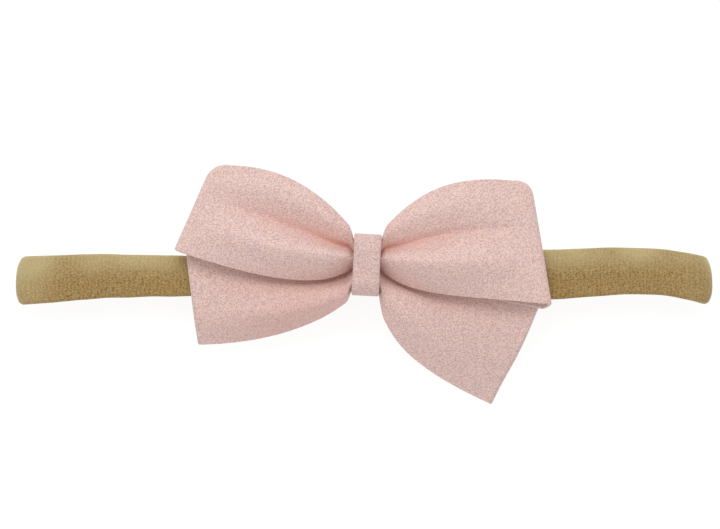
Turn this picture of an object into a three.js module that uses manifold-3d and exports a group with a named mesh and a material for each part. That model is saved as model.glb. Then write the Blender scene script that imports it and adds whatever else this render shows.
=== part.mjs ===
// A stretch headband with a pinched fabric bow, lying flat as it is stored.
//
// One seamless nylon band forms a closed loop. One strip of brushed fabric, folded into two loops and two
// tails, is gathered at its waist, bound with thread, and held on the band's front layer by a narrow wrap.
// Millimetres, +Z up, +X along the band, +Y across it. The origin is under the bow's waist, on the flat
// underside of the band's back layer.
import * as THREE from "three";
import { mergeVertices } from "three/addons/utils/BufferGeometryUtils.js";
import Module from "manifold-3d";

const wasm = await Module();
wasm.setup();

// ---------------------------------------------------------------- driving dimensions

const CLEARANCE = 0.3; // between two pieces that touch when worn or handled

const BAND = {
  leftReach: 85.6, // from the waist to the outside of the left turn
  rightReach: 84.4,
  width: 11,
  thickness: 2.4, // the long edges roll, so the band is thicker than the knit
  edgeFlat: 0.1, // what is left flat between the two roundings of an edge
  gap: 7, // free height between the two layers
  centreY: -2.6,
  pinchedWidth: 10, // where the wrap gathers it
  middleHalf: 4, // half length of the front stretch that the wrap holds
  backMiddleHalf: 12, // half length of the back stretch that never moves
  liftSpan: 38, // length of front layer that slopes when the bow is lifted
};

const STRIP = {
  width: 30, // the cut width of the bow's fabric
  thickness: 1,
  layerGap: 0.6, // between two layers that lie on each other
};

const WAIST = {
  halfLength: 2.9,
  width: 12.6, // across the band, along Y
  height: 7.8,
  pleatDepth: 0.4,
  pleats: 10, // round the whole bundle
  tilt: THREE.MathUtils.degToRad(-3), // of the waist and wrap, seen from above
};

const WRAP = {
  width: 6.1,
  thickness: 0.9,
  cornerRadius: 2.6, // outside
};

const THREAD = { diameter: 0.5, turns: 4, turnGap: 0.1 };

const STITCH = { diameter: 0.4, count: 5, span: 4.4, height: 1.5 };

// Each lobe's outline, seen from above, runs along straight and curved stretches from its root at the
// waist. A point is [share of the way from root to reach, share of the strip's width above the X axis].
const LOOP_LEFT = {
  side: -1,
  reach: 43.2, // from the waist's middle, square to the fold
  lean: THREE.MathUtils.degToRad(-25), // turn of the fold's outward direction from the X axis
  crown: 8.6, // rise of the front layer over the back layer at its highest
  foldRadius: 1.6, // to the middle of the fabric
  outline: [
    ["curve", [0, 0.25], [0.14, 0.51], [0.42, 0.74], [0.75, 0.82], [0.92, 0.82]],
    ["line", [1.13, -0.06]],
    ["curve", [0.93, 0.06], [0.61, -0.05], [0.33, -0.11], [0.12, -0.12]],
    ["line", [0, -0.04]],
  ],
};

const LOOP_RIGHT = {
  side: 1,
  reach: 42.9,
  lean: THREE.MathUtils.degToRad(10),
  crown: 9.4,
  foldRadius: 1.8,
  outline: [
    ["curve", [0, -0.02], [0.14, -0.18], [0.52, -0.25], [1.08, -0.33]],
    ["line", [1.03, 0.67]],
    ["curve", [0.89, 0.68], [0.68, 0.68], [0.34, 0.63], [0.12, 0.45], [0, 0.25]],
  ],
};

const TAIL_LEFT = {
  side: -1,
  reach: 43.8,
  outline: [
    ["curve", [0, 0.05], [0.31, 0.17], [1, 0.1]],
    ["line", [0.94, -0.63]],
    ["curve", [0.65, -0.63], [0.32, -0.52], [0.09, -0.36], [0, -0.23]],
  ],
};

const TAIL_RIGHT = {
  side: 1,
  reach: 41,
  outline: [
    ["curve", [0, -0.23], [0.05, -0.46], [0.24, -0.78], [0.42, -0.92]],
    ["line", [0.72, -1.13]],
    ["line", [1, -0.36]],
    ["curve", [0.92, -0.15], [0.33, 0.05], [0, 0.05]],
  ],
};

const TAIL_REST = 0.5; // height of a tail's lowest corner above the surface under the band
const OUTLINE_STEPS = 10; // straight pieces in each curved run
const FOLD_STEPS = 8; // straight pieces round a loop's fold
const CROWN_STEPS = 16; // straight pieces over a loop's front layer
const TURN_STEPS = 14; // straight pieces round a turn of the band
const BLANK = 120; // length of an uncut ribbon, more than any lobe is wide

// ---------------------------------------------------------------- derived heights

const frontUnder = BAND.thickness + BAND.gap; // underside of the band's front layer
const frontTop = frontUnder + BAND.thickness;
const layerStep = STRIP.thickness + STRIP.layerGap;
const lowLayer = frontTop + CLEARANCE; // underside of the bow's lowest layer
const midLayer = lowLayer + layerStep;
const waistCentreZ = frontTop + CLEARANCE + WAIST.height / 2;
const rolledEdge = (BAND.thickness - BAND.edgeFlat) / 2; // radius of the band's long edges
const turnRadius = (BAND.gap + BAND.thickness) / 2; // to the middle of the band's thickness
const turnReach = turnRadius + BAND.thickness / 2;
const wrapBore = WAIST.width + 2 * CLEARANCE; // free width inside the wrap, along Y
const tiltSwing = (wrapBore / 2 + WRAP.thickness) * Math.abs(Math.sin(WAIST.tilt));
const threadPitch = THREAD.diameter + THREAD.turnGap;
const lobeRoot = WRAP.width / 2 + CLEARANCE + tiltSwing; // where loops and tails begin, along X
const tailAcross = TAIL_RIGHT.outline.flatMap(([, ...places]) => places.map(([, across]) => across));
const tailLowest = STRIP.width * Math.min(...tailAcross);

// ---------------------------------------------------------------- materials

/** Tan stretch nylon, finely ribbed. */
const nylon = () => new THREE.MeshStandardMaterial({ color: 0xa48a59, roughness: 0.85, metalness: 0 });

/** Pale pink cloth with a brushed nap. */
const suede = () => new THREE.MeshStandardMaterial({ color: 0xdcb8b2, roughness: 0.95, metalness: 0 });

/** Sewing thread, matched to the cloth. */
const cotton = () => new THREE.MeshStandardMaterial({ color: 0xe6c9c3, roughness: 0.8, metalness: 0 });

// ---------------------------------------------------------------- solid helpers

/** A closed three.js geometry as a solid, turned the right way out if its faces point inwards. */
function solidOf(geometry) {
  const bare = geometry.clone();
  bare.deleteAttribute("normal");
  bare.deleteAttribute("uv");
  const merged = mergeVertices(bare, 1e-4);
  const triVerts = new Uint32Array(merged.index.array);
  const vertProperties = new Float32Array(merged.attributes.position.array);
  const made = new wasm.Manifold(new wasm.Mesh({ numProp: 3, vertProperties, triVerts }));
  if (made.volume() > 0) return made;
  for (let i = 0; i < triVerts.length; i += 3) {
    [triVerts[i + 1], triVerts[i + 2]] = [triVerts[i + 2], triVerts[i + 1]];
  }
  return new wasm.Manifold(new wasm.Mesh({ numProp: 3, vertProperties, triVerts }));
}

/** A solid's surface as a three.js geometry. */
function geometryOf(solid) {
  const mesh = solid.getMesh();
  const corners = new Float32Array(mesh.numVert * 3);
  for (let i = 0; i < mesh.numVert; i++) {
    corners.set(mesh.vertProperties.subarray(i * mesh.numProp, i * mesh.numProp + 3), i * 3);
  }
  const geometry = new THREE.BufferGeometry();
  geometry.setAttribute("position", new THREE.BufferAttribute(corners, 3));
  geometry.setIndex(new THREE.BufferAttribute(new Uint32Array(mesh.triVerts), 1));
  geometry.computeVertexNormals();
  return geometry;
}

/** A named mesh of one solid or geometry, with a material of its own. */
function piece(name, shape, material) {
  const geometry = shape.isBufferGeometry ? geometryOf(solidOf(shape)) : geometryOf(shape);
  const mesh = new THREE.Mesh(geometry, material());
  mesh.name = name;
  return mesh;
}

/** A shape drawn in the YZ plane, extruded along X from one place to another. */
function extrudeAlongX(shape, fromX, toX, curveSegments = 6) {
  const depth = toX - fromX;
  const geometry = new THREE.ExtrudeGeometry(shape, { depth, bevelEnabled: false, curveSegments });
  geometry.applyMatrix4(new THREE.Matrix4().makeBasis(
    new THREE.Vector3(0, 1, 0),
    new THREE.Vector3(0, 0, 1),
    new THREE.Vector3(1, 0, 0),
  ));
  return geometry.translate(fromX, 0, 0);
}

/** A rectangle with round corners, about a centre. */
function roundedRectangle(width, height, radius, centreX = 0, centreY = 0) {
  const shape = new THREE.Shape();
  const x = width / 2 - radius;
  const y = height / 2 - radius;
  shape.absarc(centreX + x, centreY - y, radius, -Math.PI / 2, 0);
  shape.absarc(centreX + x, centreY + y, radius, 0, Math.PI / 2);
  shape.absarc(centreX - x, centreY + y, radius, Math.PI / 2, Math.PI);
  shape.absarc(centreX - x, centreY - y, radius, Math.PI, Math.PI * 1.5);
  return shape;
}

/** The flat outline of one lobe of the bow, as a shape in the XY plane. */
function outlineShape(lobe) {
  const span = lobe.reach - lobeRoot;
  const points = [];
  for (const [kind, ...places] of lobe.outline) {
    const corners = places.map(([along, across]) => (
      new THREE.Vector2(lobe.side * (lobeRoot + along * span), across * STRIP.width)
    ));
    if (kind === "line") points.push(...corners);
    else points.push(...new THREE.SplineCurve(corners).getPoints(OUTLINE_STEPS));
  }
  return new THREE.Shape(points);
}

/** The upright prism over a lobe's outline, tall enough for every layer of the bow. */
function prismOf(lobe) {
  const geometry = new THREE.ExtrudeGeometry(outlineShape(lobe), { depth: BLANK, bevelEnabled: false });
  return solidOf(geometry.translate(0, 0, -BLANK / 2));
}

/** A ribbon of even thickness along a line of points, as a closed 2D shape. */
function ribbonShape(line, thickness) {
  const side = (i, offset) => {
    const before = line[Math.max(i - 1, 0)];
    const after = line[Math.min(i + 1, line.length - 1)];
    const direction = after.clone().sub(before).normalize();
    return new THREE.Vector2(line[i].x - direction.y * offset, line[i].y + direction.x * offset);
  };
  const outer = line.map((_, i) => side(i, thickness / 2));
  const inner = line.map((_, i) => side(i, -thickness / 2)).reverse();
  return new THREE.Shape([...outer, ...inner]);
}

// ---------------------------------------------------------------- the nylon band

/** One flat stretch of the band on the back or front layer. */
function bandStretch(name, fromX, toX, underside, width = BAND.width, centreY = BAND.centreY) {
  const centreZ = underside + BAND.thickness / 2;
  const section = roundedRectangle(width, BAND.thickness, rolledEdge, centreY, centreZ);
  return piece(name, extrudeAlongX(section, fromX, toX), nylon);
}

/** The middle line of a turn, from the back layer round to the front layer. */
class TurnCurve extends THREE.Curve {
  constructor(side, centreX) {
    super();
    this.side = side;
    this.centreX = centreX;
  }

  getPoint(t, target = new THREE.Vector3()) {
    const angle = Math.PI * (t - 0.5);
    const x = this.centreX + this.side * turnRadius * Math.cos(angle);
    return target.set(x, BAND.centreY, frontTop / 2 + turnRadius * Math.sin(angle));
  }
}

/** The U-turn where the back layer becomes the front layer. */
function bandTurn(name, side, reach) {
  const centreX = side * (reach - turnReach);
  const section = roundedRectangle(BAND.width, BAND.thickness, rolledEdge);
  const geometry = new THREE.ExtrudeGeometry(section, {
    steps: TURN_STEPS,
    curveSegments: 6,
    extrudePath: new TurnCurve(side, centreX),
  });
  return piece(name, geometry, nylon);
}

/** Every stretch and turn of the band. */
function buildBand() {
  const band = new THREE.Group();
  const liftEnd = BAND.middleHalf + CLEARANCE + BAND.liftSpan;
  const pinchedY = (BAND.pinchedWidth - wrapBore) / 2 + CLEARANCE + tiltSwing;
  band.add(
    bandStretch("band_back_middle", -BAND.backMiddleHalf, BAND.backMiddleHalf, 0),
    bandStretch(
      "band_front_middle", -BAND.middleHalf, BAND.middleHalf, frontUnder, BAND.pinchedWidth, pinchedY,
    ),
  );
  const sides = [["left", -1, BAND.leftReach], ["right", 1, BAND.rightReach]];
  for (const [word, side, reach] of sides) {
    const turnStart = reach - turnReach - CLEARANCE;
    const stretch = (name, near, far, underside) => {
      const ends = [side * near, side * far].sort((a, b) => a - b);
      band.add(bandStretch(name, ends[0], ends[1], underside));
    };
    stretch("band_back_" + word, BAND.backMiddleHalf + CLEARANCE, turnStart, 0);
    stretch("band_front_inner_" + word, BAND.middleHalf + CLEARANCE, liftEnd, frontUnder);
    stretch("band_front_outer_" + word, liftEnd + CLEARANCE, turnStart, frontUnder);
    band.add(bandTurn("band_turn_" + word, side, reach));
  }
  return band;
}

// ---------------------------------------------------------------- the bow's lobes

/** The side view of a loop: back layer out, round the fold, and front layer back over a crown. */
function loopProfile(loop) {
  const back = midLayer + STRIP.thickness / 2;
  const foldX = loop.reach - STRIP.thickness / 2 - loop.foldRadius;
  const line = [new THREE.Vector2(0, back)];
  for (let i = 0; i <= FOLD_STEPS; i++) {
    const angle = Math.PI * (i / FOLD_STEPS - 0.5);
    line.push(new THREE.Vector2(
      foldX + loop.foldRadius * Math.cos(angle),
      back + loop.foldRadius * (1 + Math.sin(angle)),
    ));
  }
  const front = back + 2 * loop.foldRadius;
  const crown = new THREE.SplineCurve([
    new THREE.Vector2(foldX, front),
    new THREE.Vector2(foldX * 0.72, (front + back + loop.crown) / 2),
    new THREE.Vector2(foldX * 0.42, back + loop.crown),
    new THREE.Vector2(foldX * 0.17, back + loop.crown * 0.86),
    new THREE.Vector2(0, waistCentreZ + WAIST.height / 4),
  ]);
  line.push(...crown.getPoints(CROWN_STEPS).slice(1));
  return ribbonShape(line, STRIP.thickness);
}

/** One loop: the folded ribbon, drawn in XZ and extruded along Y, turned and cut to its outline. */
function buildLoop(name, loop) {
  const geometry = new THREE.ExtrudeGeometry(loopProfile(loop), { depth: BLANK, bevelEnabled: false });
  geometry.rotateX(Math.PI / 2).translate(0, BLANK / 2, 0);
  const ribbon = solidOf(geometry);
  const facing = loop.side < 0 ? ribbon.mirror([1, 0, 0]) : ribbon;
  const turned = facing.rotate([0, 0, THREE.MathUtils.radToDeg(loop.lean)]);
  return piece(name, turned.intersect(prismOf(loop)), suede);
}

/** One tail: a flat layer over the band that droops beyond it towards a low corner. */
function buildTail(name, tail) {
  const level = lowLayer + STRIP.thickness / 2;
  const rest = TAIL_REST + STRIP.thickness / 2;
  const bendY = BAND.centreY - BAND.width / 2 - STRIP.thickness;
  const fall = tailLowest - bendY;
  const droop = new THREE.CubicBezierCurve(
    new THREE.Vector2(bendY, level),
    new THREE.Vector2(bendY + fall * 0.35, level),
    new THREE.Vector2(bendY + fall * 0.6, rest + (level - rest) * 0.35),
    new THREE.Vector2(tailLowest - STRIP.thickness, rest),
  );
  const line = [new THREE.Vector2(STRIP.width, level), ...droop.getPoints(OUTLINE_STEPS)];
  const ribbon = solidOf(extrudeAlongX(ribbonShape(line, STRIP.thickness), -BLANK / 2, BLANK / 2));
  return piece(name, ribbon.intersect(prismOf(tail)), suede);
}

// ---------------------------------------------------------------- the waist, its thread and its wrap

/** The thread's winding line: a helix on an oval just inside the waist's surface. */
class WindingCurve extends THREE.Curve {
  getPoint(t, target = new THREE.Vector3()) {
    const angle = 2 * Math.PI * THREAD.turns * t;
    return target.set(
      THREAD.turns * threadPitch * (t - 0.5),
      (WAIST.width - THREAD.diameter) / 2 * Math.cos(angle),
      waistCentreZ + (WAIST.height - THREAD.diameter) / 2 * Math.sin(angle),
    );
  }
}

/** A round section for thread. */
function threadSection(diameter) {
  const section = new THREE.Shape();
  section.absarc(0, 0, diameter / 2, 0, 2 * Math.PI);
  return section;
}

/** The thread that binds the gathered waist, one strand in several turns. */
function buildThread() {
  const geometry = new THREE.ExtrudeGeometry(threadSection(THREAD.diameter), {
    steps: 24 * THREAD.turns,
    curveSegments: 4,
    extrudePath: new WindingCurve(),
  });
  return piece("waist_thread", geometry, cotton);
}

/** An oval of the waist's own proportions, smaller by a margin, with pleats of a given depth. */
function waistSection(margin, pleatDepth) {
  const points = [];
  const steps = 8 * WAIST.pleats;
  for (let i = 0; i < steps; i++) {
    const angle = (2 * Math.PI * i) / steps;
    const inset = margin + pleatDepth * (0.5 - 0.5 * Math.cos(WAIST.pleats * angle));
    points.push(new THREE.Vector2(
      (WAIST.width / 2 - inset) * Math.cos(angle),
      waistCentreZ + (WAIST.height / 2 - inset) * Math.sin(angle),
    ));
  }
  return new THREE.Shape(points);
}

/** The gathered middle of the strip: a pleated oval bundle, narrower where the thread is wound. */
function buildWaist() {
  const bound = (THREAD.turns * threadPitch + THREAD.diameter) / 2 + CLEARANCE;
  const full = waistSection(0, WAIST.pleatDepth);
  const bundle = solidOf(extrudeAlongX(waistSection(THREAD.diameter + CLEARANCE, 0), -bound, bound))
    .add(solidOf(extrudeAlongX(full, -WAIST.halfLength, -bound)))
    .add(solidOf(extrudeAlongX(full, bound, WAIST.halfLength)));
  return piece("bow_waist", bundle, suede);
}

/** The narrow strip round the waist and the band's front layer. */
function buildWrap() {
  const top = waistCentreZ + WAIST.height / 2 + CLEARANCE;
  const bottom = frontUnder - CLEARANCE;
  const centreZ = (top + bottom) / 2;
  const wall = 2 * WRAP.thickness;
  const ring = roundedRectangle(wrapBore + wall, top - bottom + wall, WRAP.cornerRadius, 0, centreZ);
  const boreRadius = WRAP.cornerRadius - WRAP.thickness;
  ring.holes.push(roundedRectangle(wrapBore, top - bottom, boreRadius, 0, centreZ));
  return piece("centre_wrap", extrudeAlongX(ring, -WRAP.width / 2, WRAP.width / 2), suede);
}

/** The hand stitches that close the wrap on its underside, as one run of thread. */
function buildStitches() {
  const height = frontUnder - 2 * CLEARANCE - WRAP.thickness - STITCH.diameter / 2;
  const places = [];
  for (let i = 0; i <= STITCH.count; i++) {
    const x = STITCH.span * (i / STITCH.count - 0.5);
    places.push(new THREE.Vector3(x, (i % 2 ? 1 : -1) * STITCH.height / 2, height));
  }
  const geometry = new THREE.ExtrudeGeometry(threadSection(STITCH.diameter), {
    steps: 8 * STITCH.count,
    curveSegments: 4,
    extrudePath: new THREE.CatmullRomCurve3(places, false, "centripetal"),
  });
  return piece("wrap_stitches", geometry, cotton);
}

// ---------------------------------------------------------------- assembly

/** The bow with everything that lifts with it, apart from the band. */
function buildBow() {
  const bow = new THREE.Group();
  bow.add(
    buildLoop("bow_loop_left", LOOP_LEFT),
    buildLoop("bow_loop_right", LOOP_RIGHT),
    buildTail("bow_tail_left", TAIL_LEFT),
    buildTail("bow_tail_right", TAIL_RIGHT),
  );
  const knot = new THREE.Group();
  knot.rotation.z = WAIST.tilt;
  knot.add(buildWaist(), buildThread(), buildWrap(), buildStitches());
  bow.add(knot);
  return bow;
}

const headband = new THREE.Group();
headband.add(buildBand(), buildBow());

export default headband;
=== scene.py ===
"""A soft loop headband with a pinched suede-cloth bow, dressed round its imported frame.

The object is three cut pieces of cloth and two threads. A seamless knit band lies flat as a loop, one
strip of brushed cloth is folded into a bow, and a narrow wrap holds the bow on the band's front layer.
Sizes in the classes are millimetres and are made metres when a mesh is built.
"""

import logging
import math
from dataclasses import dataclass, field
from enum import Enum

import bpy
import numpy as np
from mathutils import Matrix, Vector, noise


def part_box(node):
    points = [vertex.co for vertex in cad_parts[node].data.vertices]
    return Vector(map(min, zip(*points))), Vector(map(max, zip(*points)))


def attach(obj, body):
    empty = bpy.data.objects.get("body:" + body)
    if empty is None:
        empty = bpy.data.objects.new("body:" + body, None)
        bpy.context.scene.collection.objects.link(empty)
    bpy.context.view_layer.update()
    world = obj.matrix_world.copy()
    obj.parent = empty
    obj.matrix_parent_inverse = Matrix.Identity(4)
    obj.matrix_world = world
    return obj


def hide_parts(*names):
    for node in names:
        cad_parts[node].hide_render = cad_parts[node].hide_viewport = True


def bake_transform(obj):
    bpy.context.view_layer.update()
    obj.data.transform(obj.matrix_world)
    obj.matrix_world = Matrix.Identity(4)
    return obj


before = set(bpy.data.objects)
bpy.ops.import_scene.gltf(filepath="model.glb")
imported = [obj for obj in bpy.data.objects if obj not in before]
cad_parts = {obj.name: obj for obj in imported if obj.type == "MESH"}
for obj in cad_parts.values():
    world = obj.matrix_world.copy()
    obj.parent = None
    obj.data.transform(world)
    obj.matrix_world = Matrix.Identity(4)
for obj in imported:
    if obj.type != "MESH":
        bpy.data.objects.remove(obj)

MM = 0.001
SMOOTH_BELOW = math.radians(62)
TINY = 1e-9
Socket = bpy.types.NodeSocket
log = logging.getLogger("headband")


class Side(Enum):
    """Which side of the bow's waist a part lies on, with the sign of its X."""

    LEFT = -1
    RIGHT = 1

    @property
    def word(self) -> str:
        """The side's name in piece names."""
        return self.name.lower()


# ---------------------------------------------------------------- shapes and small helpers


def srgb(red: int, green: int, blue: int) -> tuple[float, float, float, float]:
    """A display colour as the linear colour that a shader socket takes.

    Args:
        red: Red, from 0 to 255.
        green: Green, from 0 to 255.
        blue: Blue, from 0 to 255.

    Returns:
        The linear red, green and blue, and an alpha of 1.
    """
    channels = [value / 255 for value in (red, green, blue)]
    linear = [c / 12.92 if c <= 0.04045 else ((c + 0.055) / 1.055) ** 2.4 for c in channels]
    return linear[0], linear[1], linear[2], 1.0


def smooth(value: np.ndarray, low: float, high: float) -> np.ndarray:
    """A smooth step of the values, from 0 at low to 1 at high."""
    share = np.clip((value - low) / (high - low), 0.0, 1.0)
    return share * share * (3 - 2 * share)


def unit(vectors: np.ndarray) -> np.ndarray:
    """The vectors on the last axis, each made one long."""
    return vectors / (np.linalg.norm(vectors, axis=-1, keepdims=True) + TINY)


def hermite(knots: np.ndarray, values: np.ndarray, places: np.ndarray) -> np.ndarray:
    """A smooth curve through values at knots, read at places.

    Args:
        knots: The rising positions of the values.
        values: One row of numbers for each knot.
        places: Where the curve is read.

    Returns:
        One row of numbers for each place.
    """
    slopes = np.empty_like(values)
    slopes[0] = (values[1] - values[0]) / (knots[1] - knots[0])
    slopes[-1] = (values[-1] - values[-2]) / (knots[-1] - knots[-2])
    for i in range(1, len(knots) - 1):
        slopes[i] = (values[i + 1] - values[i - 1]) / (knots[i + 1] - knots[i - 1])
    index = np.clip(np.searchsorted(knots, places, side="right") - 1, 0, len(knots) - 2)
    width = knots[index + 1] - knots[index]
    u = (places - knots[index]) / width
    shape = (len(places),) + (1,) * (values.ndim - 1)
    u, width = u.reshape(shape), width.reshape(shape)
    start = (2 * u**3 - 3 * u**2 + 1) * values[index] + (u**3 - 2 * u**2 + u) * width * slopes[index]
    end = (3 * u**2 - 2 * u**3) * values[index + 1] + (u**3 - u**2) * width * slopes[index + 1]
    return start + end


def bezier(controls: np.ndarray, places: np.ndarray) -> np.ndarray:
    """Points on a cubic Bezier curve.

    Args:
        controls: Four rows of control values.
        places: Shares along the curve, from 0 to 1.

    Returns:
        One row of values for each place.
    """
    u = places[:, None]
    near = (1 - u) ** 3 * controls[0] + 3 * u * (1 - u) ** 2 * controls[1]
    return near + 3 * u**2 * (1 - u) * controls[2] + u**3 * controls[3]


def ripple(points: np.ndarray, size: float, wavelength: float, seed: float) -> np.ndarray:
    """An even, soft unevenness over a surface.

    Args:
        points: The surface's points, in millimetres, with the last axis holding x, y and z.
        size: The largest height, in millimetres.
        wavelength: The usual length of a wave, in millimetres.
        seed: An offset that gives each surface its own waves.

    Returns:
        A height for each point.
    """
    flat = points.reshape(-1, 3) / wavelength
    heights = [noise.noise(Vector((p[0] + seed, p[1] - seed, p[2]))) for p in flat]
    return size * np.array(heights).reshape(points.shape[:-1])


def deselect_all() -> None:
    """Clears the selection, so that an operator acts only on what is selected after."""
    for item in bpy.context.selected_objects:
        item.select_set(False)


@dataclass
class ClothSheet:
    """One sheet of cloth, given as a grid of points on its middle surface.

    Attributes:
        name: The piece's name.
        grid: Rows along the sheet, of points across it, in millimetres.
        thickness: The cloth's thickness, in millimetres.
        rim: How far a cut edge bulges, as a share of the thickness, across the sheet.
        end_rim: The same at the two ends.
        mask: How strongly each point shows mask_name, from 0 to 1.
        mask_name: The mask's name: the painted shade in the bow's folds, or the painted highlight on the
            band.
        press: The share of the thickness left at each point, where the cloth is squeezed.
    """

    name: str
    grid: np.ndarray
    thickness: float
    rim: float = 0.35
    end_rim: float = 0.35
    mask: np.ndarray | None = None
    mask_name: str = "crease_shade"
    press: np.ndarray | None = None

    def lengths(self) -> list[np.ndarray]:
        """The distance along the sheet to each row and across it to each column, in millimetres."""
        steps = [np.linalg.norm(np.diff(self.grid, axis=i), axis=2).mean(axis=1 - i) for i in (0, 1)]
        return [np.r_[0, np.cumsum(step)] for step in steps]

    def build(self) -> bpy.types.Object:
        """Makes the closed mesh, with its cloth coordinates and its fold and edge masks.

        Returns:
            The new object, at the origin.
        """
        rows, columns = self.grid.shape[:2]
        along = np.gradient(self.grid, axis=0)
        across = np.gradient(self.grid, axis=1)
        onward = unit(along)
        outward = unit(across - (across * onward).sum(axis=2, keepdims=True) * onward)
        press = np.ones((rows, columns)) if self.press is None else self.press
        half = self.thickness / 2 * press[..., None] * unit(np.cross(along, across))
        bulge = self.rim * self.thickness
        far_rim = self.grid[:, -1] + bulge * press[:, -1:] * outward[:, -1]
        near_rim = self.grid[:, 0] - bulge * press[:, :1] * outward[:, 0]
        lower = (self.grid - half)[:, ::-1]
        ring = np.concatenate([self.grid + half, far_rim[:, None], lower, near_rim[:, None]], axis=1)
        end_bulge = self.end_rim * self.thickness
        first_mid = self.grid[0] - end_bulge * onward[0]
        last_mid = self.grid[-1] + end_bulge * onward[-1]
        points = np.concatenate([ring.reshape(-1, 3), first_mid, last_mid]) * MM
        mesh = bpy.data.meshes.new(self.name)
        mesh.from_pydata(points.tolist(), [], self._faces(rows, columns))
        piece = bpy.data.objects.new(self.name, mesh)
        bpy.context.scene.collection.objects.link(piece)
        self._write_layers(mesh)
        self._finish(piece)
        return piece

    @staticmethod
    def _faces(rows: int, columns: int) -> list[tuple[int, ...]]:
        """Quads between the rings of points, and the faces that close each end over its middle line.

        Args:
            rows: The number of rings.
            columns: The number of points across the sheet.

        Returns:
            The faces, as vertex numbers.
        """
        size = 2 * columns + 2
        faces = []
        for here in range(0, (rows - 1) * size, size):
            for i in range(size):
                j = (i + 1) % size
                faces.append((here + i, here + j, here + size + j, here + size + i))
        for ring, middle, order in ((0, rows * size, 1), ((rows - 1) * size, rows * size + columns, -1)):
            far, last = ring + columns, ring + size - 1
            closing = []
            for i in range(columns - 1):
                top, bottom = ring + i, last - 1 - i
                closing.append((top, top + 1, middle + i + 1, middle + i))
                closing.append((middle + i, middle + i + 1, bottom - 1, bottom))
            closing.append((far - 1, far, middle + columns - 1))
            closing.append((middle + columns - 1, far, far + 1))
            closing.append((last, ring, middle))
            closing.append((last, middle, last - 1))
            faces += [face[::order] for face in closing]
        return faces

    def _write_layers(self, mesh: bpy.types.Mesh) -> None:
        """Stores the cloth's mask, its cut edges and, in metres, its own coordinates as the map "cloth".

        Args:
            mesh: The sheet's mesh.
        """
        rows, columns = self.grid.shape[:2]
        mask = np.zeros((rows, columns)) if self.mask is None else self.mask
        ring = np.concatenate([mask, mask[:, -1:], mask[:, ::-1], mask[:, :1]], axis=1)
        shown = np.concatenate([ring.ravel(), mask[0], mask[-1]])
        edge = np.zeros_like(ring)
        edge[:, [columns, -1]] = 1
        cuts = np.concatenate([edge.ravel(), np.ones(2 * columns)])
        for name, values in ((self.mask_name, shown), ("cut_edge", cuts)):
            layer = mesh.attributes.new(name, "FLOAT", "POINT")
            layer.data.foreach_set("value", np.clip(values, 0, 1).astype(np.float32))
        along, across = self.lengths()
        around = np.concatenate([across, across[-1:], across[::-1], across[:1]])
        u = np.concatenate([np.repeat(along, len(around)), np.repeat(along[[0, -1]], columns)])
        v = np.concatenate([np.tile(around, rows), across, across])
        corner = np.empty(len(mesh.loops), np.int32)
        mesh.loops.foreach_get("vertex_index", corner)
        uv = np.stack([u[corner], v[corner]], axis=1) * MM
        mesh.uv_layers.new(name="cloth").data.foreach_set("uv", uv.astype(np.float32).ravel())

    @staticmethod
    def _finish(piece: bpy.types.Object) -> None:
        """Turns the faces outwards and shades the cloth smooth.

        Args:
            piece: The sheet's object.
        """
        deselect_all()
        piece.select_set(True)
        bpy.context.view_layer.objects.active = piece
        bpy.ops.object.mode_set(mode="EDIT")
        bpy.ops.mesh.select_all(action="SELECT")
        bpy.ops.mesh.normals_make_consistent(inside=False)
        bpy.ops.object.mode_set(mode="OBJECT")
        bpy.ops.object.shade_smooth_by_angle(angle=SMOOTH_BELOW)
        deselect_all()


# ---------------------------------------------------------------- finishes


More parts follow.
